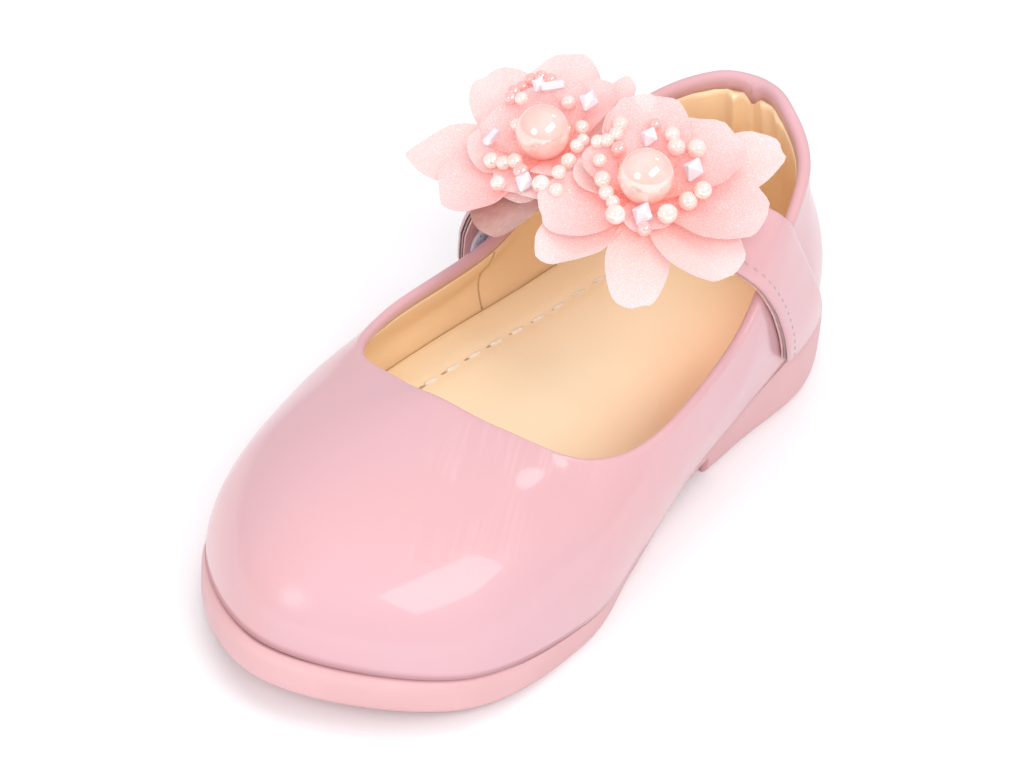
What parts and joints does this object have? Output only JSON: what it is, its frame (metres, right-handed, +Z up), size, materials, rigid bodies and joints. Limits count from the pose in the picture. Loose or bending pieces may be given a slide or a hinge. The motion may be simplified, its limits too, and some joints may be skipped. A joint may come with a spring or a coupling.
{
  "type": "baby pump shoe",
  "caption": "Round-toed patent baby shoe for the right foot, with a low moulded heel, a cream insole and an instep strap that carries organza flowers with pearl beads.",
  "frame": {"origin": "on the floor under the middle of the shoe's box, flowers included", "axes": "+Z up from the floor, toe towards -Y, heel towards +Y, medial side of the foot towards +X"},
  "size_m": [0.0611, 0.1318, 0.0529],
  "materials": {
    "outsole": "matte moulded",
    "upper": "glossy patent",
    "insole": "satin",
    "strap": "glossy patent",
    "loop_pad": "looped pile",
    "hook_pad": "hooked tape",
    "petals": "organza",
    "florets": "organza",
    "beads": "pearl",
    "pearls": "pearl"
  },
  "bodies": {
    "root": {"outsole": "outsole", "upper": "upper", "insole": "insole", "strap": "strap", "loop_pad": "loop_pad", "hook_pad": "hook_pad", "flower_lateral_petals": "petals", "flower_medial_petals": "petals", "flower_lateral_florets": "florets", "flower_medial_florets": "florets", "flower_lateral_beads": "beads", "flower_medial_beads": "beads", "flower_lateral_pearl": "pearls", "flower_medial_pearl": "pearls"}
  },
  "joints": []
}
